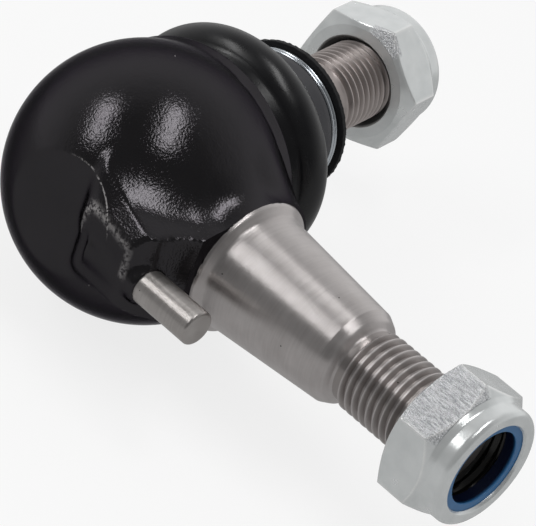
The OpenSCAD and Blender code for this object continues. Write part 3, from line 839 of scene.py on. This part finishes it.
def specks(tree, spot, look):  # sparse round dots
    cells = addNode(tree, "TexVoronoi", {"Vector": spot, "Scale": look["speckScale"]})
    dot = both(tree, cells.outputs["Distance"], look["speckSize"], "LESS_THAN")
    pick = addNode(tree, "SeparateColor", {"Color": cells.outputs["Color"]}).outputs[0]
    return both(tree, dot, both(tree, pick, look["speckRare"], "GREATER_THAN"))


def ringGrain(tree, spot, turn, scale, along, detail):  # streaks that run round a turned piece
    turned = addNode(tree, "Mapping", {"Vector": spot, "Rotation": (0, 0, turn)}).outputs[0]
    return grain(tree, turned, scale, detail, rough=0.6, stretch=(1, along, along))


paintFinish = {
    # chip is the colour of chipped paint, and also a painted highlight along the crease and the lug's upper
    # edges
    "deep": (0.044, 0.042, 0.045), "lit": (0.053, 0.05, 0.054), "chipAndGlint": (0.52, 0.50, 0.50),
    "metal": 0.9, "rimTint": (0.3, 0.29, 0.31, 1), "cloudScale": 160, "gloss": (0.09, 0.15), "chipRough": 0.5,
    "peelScale": 700, "peel": 0.000034, "fineScale": 3000, "fine": 0.000042,
    "lineFade": (0.00003, 0.00008), "chipScale": 1500, "chipSpan": (0.45, 0.53),
    "speckScale": 150, "speckSize": 0.032, "speckRare": 0.72,
}


def creaseGlintLine(tree, spot):  # a thin line where the flat meets the ball, coloured as chips and a painted highlight
    fromBall = addNode(tree, "VectorMath", {0: spot, 1: tuple(ballCentre)}, operation="SUBTRACT").outputs[0]
    away = addNode(tree, "VectorMath", {0: fromBall}, operation="LENGTH").outputs["Value"]
    facing = addNode(tree, "VectorMath", {0: fromBall, 1: forging["flatFacing"]}, operation="DOT_PRODUCT")
    apart = both(tree, away, facing.outputs["Value"], "SUBTRACT")
    apart = both(tree, apart, (forging["ballRadius"] - forging["flatDepth"]) * mm, "SUBTRACT")
    apart = addNode(tree, "Math", {0: apart}, operation="ABSOLUTE").outputs[0]
    return spread(tree, apart, *paintFinish["lineFade"], 1, 0)


def glossPaint():
    look = paintFinish
    settings = {"Metallic": look["metal"], "Specular Tint": look["rimTint"]}  # the dark rims of black paint
    finish, tree, shader, spot = newFinish("glossBlackPaint", settings)
    cloud = grain(tree, spot, look["cloudScale"], detail=3)
    peel = grain(tree, spot, look["peelScale"])
    fine = grain(tree, spot, look["fineScale"])
    crease = both(tree, marked(tree, "crease"), creaseGlintLine(tree, spot))
    rubbedAndGlinting = both(tree, marked(tree, "rubbedAndGlinting"), crease, "MAXIMUM")
    flakes = spread(tree, grain(tree, spot, look["chipScale"], detail=5, rough=0.75), *look["chipSpan"], 0, 1)
    # chips: rubbed paint plus a painted highlight along the crease and the lug's edges, and specks
    chipsAndGlints = both(tree, both(tree, rubbedAndGlinting, flakes), specks(tree, spot, look), "MAXIMUM")
    shade = over(tree, chipsAndGlints, tint(tree, cloud, look["deep"], look["lit"]), look["chipAndGlint"])
    tree.links.new(shade, shader.inputs["Base Color"])
    gloss = spread(tree, cloud, *noiseSpan, *look["gloss"])
    tree.links.new(mixOf(tree, chipsAndGlints, gloss, look["chipRough"]), shader.inputs["Roughness"])
    normal = bumpOf(tree, peel, look["peel"])
    tree.links.new(bumpOf(tree, fine, look["fine"], normal), shader.inputs["Normal"])
    return finish


turning = {  # what all turned steel has
    "metal": 0.92, "brushed": 0.8, "brushTurn": 0.25, "rough": (0.3, 0.42),
    "ringScale": 2400, "ringAlong": 0.05, "ringDepth": 0.000014,
    "fineScale": 5200, "fineAlong": 0.02, "fineDepth": 0.000012,
    "cloudScale": 260, "shadeSpan": (0.7, 1.3), "grooveSpan": (0.03, 0.3), "grooveShare": 0.85,
    "speckScale": 420, "speckSize": 0.05, "speckRare": 0.8, "speck": (0.03, 0.028, 0.026),
    "paint": (0.006, 0.006, 0.0075), "paintRough": 0.25, "paintFade": 0.0001,
    "raggedScale": 500, "ragged": 0.0002,
}
steelFinishes = {  # turn lays the rings square to the axis, paintTo is where the paint ends along x
    "groundSteel": {"pale": (0.60, 0.568, 0.56), "dark": (0.49, 0.46, 0.452), "groove": (0.36, 0.33, 0.32),
                    "turn": 0, "axis": "X", "paintTo": -0.00085},
    "pinSteel": {"pale": (0.54, 0.513, 0.495), "dark": (0.42, 0.395, 0.38), "groove": (0.15, 0.133, 0.123),
                 "turn": 0, "axis": "X", "paintTo": -0.0037},
    "studSteel": {"pale": (0.68, 0.62, 0.60), "dark": (0.56, 0.505, 0.485), "groove": (0.40, 0.355, 0.34),
                  "turn": -1.7104, "axis": "Y", "paintTo": None},
}


def turnedSteel(name):
    look, cut = steelFinishes[name], turning
    settings = {"Metallic": cut["metal"], "Anisotropic": cut["brushed"],
                "Anisotropic Rotation": cut["brushTurn"]}
    finish, tree, shader, spot = newFinish(name, settings)
    tangent = addNode(tree, "Tangent", direction_type="RADIAL", axis=look["axis"])
    tree.links.new(tangent.outputs[0], shader.inputs["Tangent"])
    rings = ringGrain(tree, spot, look["turn"], cut["ringScale"], cut["ringAlong"], detail=4)
    fine = ringGrain(tree, spot, look["turn"], cut["fineScale"], cut["fineAlong"], detail=2)
    cloud = grain(tree, spot, cut["cloudScale"], detail=4)
    mottle = spread(tree, both(tree, cloud, rings, "ADD"), *cut["shadeSpan"], 0, 1)
    groove = spread(tree, marked(tree, "groove"), *cut["grooveSpan"], 0, cut["grooveShare"])
    shade = over(tree, groove, tint(tree, mottle, look["dark"], look["pale"]), look["groove"])
    shade = over(tree, specks(tree, spot, cut), shade, cut["speck"])
    rough = spread(tree, rings, *noiseSpan, *cut["rough"])
    if look["paintTo"] is not None:
        x = addNode(tree, "SeparateXYZ", {"Vector": spot}).outputs["X"]
        stray = grain(tree, spot, cut["raggedScale"], detail=3)
        stray = spread(tree, stray, *noiseSpan, -cut["ragged"], cut["ragged"])
        end, fade = look["paintTo"], cut["paintFade"]
        painted = spread(tree, both(tree, stray, x, "ADD"), end + fade, end - fade, 0, 1)
        shade = over(tree, painted, shade, cut["paint"])
        rough = mixOf(tree, painted, rough, cut["paintRough"])
        tree.links.new(spread(tree, painted, 0, 1, cut["metal"], 0), shader.inputs["Metallic"])
    tree.links.new(shade, shader.inputs["Base Color"])
    tree.links.new(rough, shader.inputs["Roughness"])
    normal = bumpOf(tree, rings, cut["ringDepth"])
    tree.links.new(bumpOf(tree, fine, cut["fineDepth"], normal), shader.inputs["Normal"])
    return finish


zincFinish = {
    "pale": (0.79, 0.81, 0.81), "dark": (0.69, 0.715, 0.715), "metal": 0.6, "rough": (0.18, 0.28),
    # bore is painted shade, a near-black colour for the inside of the nut
    # edge is partly rubbed zinc and partly a painted highlight on the nut's edges
    "bore": (0.012, 0.011, 0.010), "boreMetal": 0.3, "edge": (0.93, 0.93, 0.92), "edgeSpan": (0.35, 0.6),
    "edgeLeast": 0.2, "cloudScale": 300, "fineScale": 3200, "fineDepth": 0.000006, "burrScale": 6500,
    "brushScale": 3600, "brushStretch": (0.2, 1.0, 1.0), "strokeSpan": (0.82, 1.18),
    "strokeDark": (0.40, 0.415, 0.435), "strokePale": (0.97, 0.98, 0.99),
    "scuffRough": 0.2, "scuffDepth": 0.00015,
}


def zincPlate():
    look = zincFinish
    finish, tree, shader, spot = newFinish("zincPlate", {})
    burrs = grain(tree, spot, look["burrScale"], detail=3, rough=0.7)
    cloud = grain(tree, spot, look["cloudScale"], detail=4)
    fine = grain(tree, spot, look["fineScale"])
    brush = grain(tree, spot, look["brushScale"], detail=4, rough=0.65, stretch=look["brushStretch"])
    scratches = both(tree, brush, burrs, "ADD")
    scuff = marked(tree, "scuff")
    bore = marked(tree, "bore")
    shade = tint(tree, spread(tree, cloud, *noiseSpan, 0, 1), look["dark"], look["pale"])
    strokes = spread(tree, scratches, *look["strokeSpan"], 0, 1)
    shade = over(tree, scuff, shade, tint(tree, strokes, look["strokeDark"], look["strokePale"]))
    # lighter edges: partly rubbed zinc, partly a painted highlight
    rubbedAndGlinting = both(tree, marked(tree, "edge"), spread(tree, burrs, *look["edgeSpan"], look["edgeLeast"], 1))
    shade = over(tree, rubbedAndGlinting, shade, look["edge"])
    # painted shade: the bore's mark turns the colour near black and lowers the metal
    tree.links.new(over(tree, bore, shade, look["bore"]), shader.inputs["Base Color"])
    tree.links.new(spread(tree, bore, 0, 1, look["metal"], look["boreMetal"]), shader.inputs["Metallic"])
    rough = spread(tree, cloud, *noiseSpan, *look["rough"])
    tree.links.new(mixOf(tree, scuff, rough, look["scuffRough"]), shader.inputs["Roughness"])
    normal = bumpOf(tree, fine, look["fineDepth"])
    scuffed = both(tree, scratches, scuff)
    tree.links.new(bumpOf(tree, scuffed, look["scuffDepth"], normal), shader.inputs["Normal"])
    return finish


# bore is painted shade, a dark navy for the ring's inner wall
nylonFinish = {"dark": (0.018, 0.11, 0.27), "pale": (0.03, 0.15, 0.34), "bore": (0.001, 0.004, 0.02),
               "rough": 0.35, "cloudScale": 500, "depth": 0.00004}


def blueNylon():
    look = nylonFinish
    finish, tree, shader, spot = newFinish("blueNylon", {"Roughness": look["rough"]})
    cloud = grain(tree, spot, look["cloudScale"])
    shade = tint(tree, cloud, look["dark"], look["pale"])
    # painted shade: the bore's mark darkens the nylon
    tree.links.new(over(tree, marked(tree, "bore"), shade, look["bore"]), shader.inputs["Base Color"])
    tree.links.new(bumpOf(tree, cloud, look["depth"]), shader.inputs["Normal"])
    return finish


# neck is a painted highlight, a lighter grey for the band round the boot's neck
rubberFinish = {"dark": (0.004, 0.004, 0.005), "pale": (0.0075, 0.0075, 0.009), "neck": (0.055, 0.055, 0.06),
                "ior": 1.45, "gloss": (0.24, 0.34), "lipRough": 0.7, "cloudScale": 250, "fineScale": 3000,
                "fineDepth": 0.000006}


def satinRubber():
    look = rubberFinish
    finish, tree, shader, spot = newFinish("satinRubber", {"IOR": look["ior"]})
    cloud = grain(tree, spot, look["cloudScale"], detail=3)
    fine = grain(tree, spot, look["fineScale"])
    shade = tint(tree, cloud, look["dark"], look["pale"])
    # painted highlight: the neck's mark lightens the rubber to grey
    tree.links.new(over(tree, marked(tree, "neck"), shade, look["neck"]), shader.inputs["Base Color"])
    gloss = spread(tree, cloud, *noiseSpan, *look["gloss"])
    tree.links.new(mixOf(tree, marked(tree, "lip"), gloss, look["lipRough"]), shader.inputs["Roughness"])
    tree.links.new(bumpOf(tree, fine, look["fineDepth"]), shader.inputs["Normal"])
    return finish


cloudyFinishes = {
    "brightWire": {"settings": {"Metallic": 1.0, "Roughness": 0.2}, "cloudScale": 600,
                   "dark": (0.55, 0.59, 0.63), "pale": (0.70, 0.74, 0.78)},
    "seatPlastic": {"settings": {"Roughness": 0.5}, "cloudScale": 400,
                    "dark": (0.62, 0.58, 0.47), "pale": (0.7, 0.66, 0.55)},
}


def cloudyFinish(name):
    look = cloudyFinishes[name]
    finish, tree, shader, spot = newFinish(name, look["settings"])
    cloud = grain(tree, spot, look["cloudScale"])
    tree.links.new(tint(tree, cloud, look["dark"], look["pale"]), shader.inputs["Base Color"])
    return finish


dress(housingPiece, glossPaint())
dress(shankPiece, turnedSteel("groundSteel"))
dress(pinPiece, turnedSteel("pinSteel"))
studSteel = turnedSteel("studSteel")
dress(studPiece, studSteel)
zinc = zincPlate()
nylon = blueNylon()
for nutPiece, ringPiece in zip(nutPieces, ringPieces):
    dress(nutPiece, zinc)
    dress(ringPiece, nylon)
dress(bootPiece, satinRubber())
dress(wirePiece, cloudyFinish("brightWire"))
dress(frame["nodes"]["ball_seat"], cloudyFinish("seatPlastic"))
for hiddenRing in ("closing_ring", "boot_ring_lower"):
    dress(frame["nodes"][hiddenRing], studSteel)
print("finishes on")
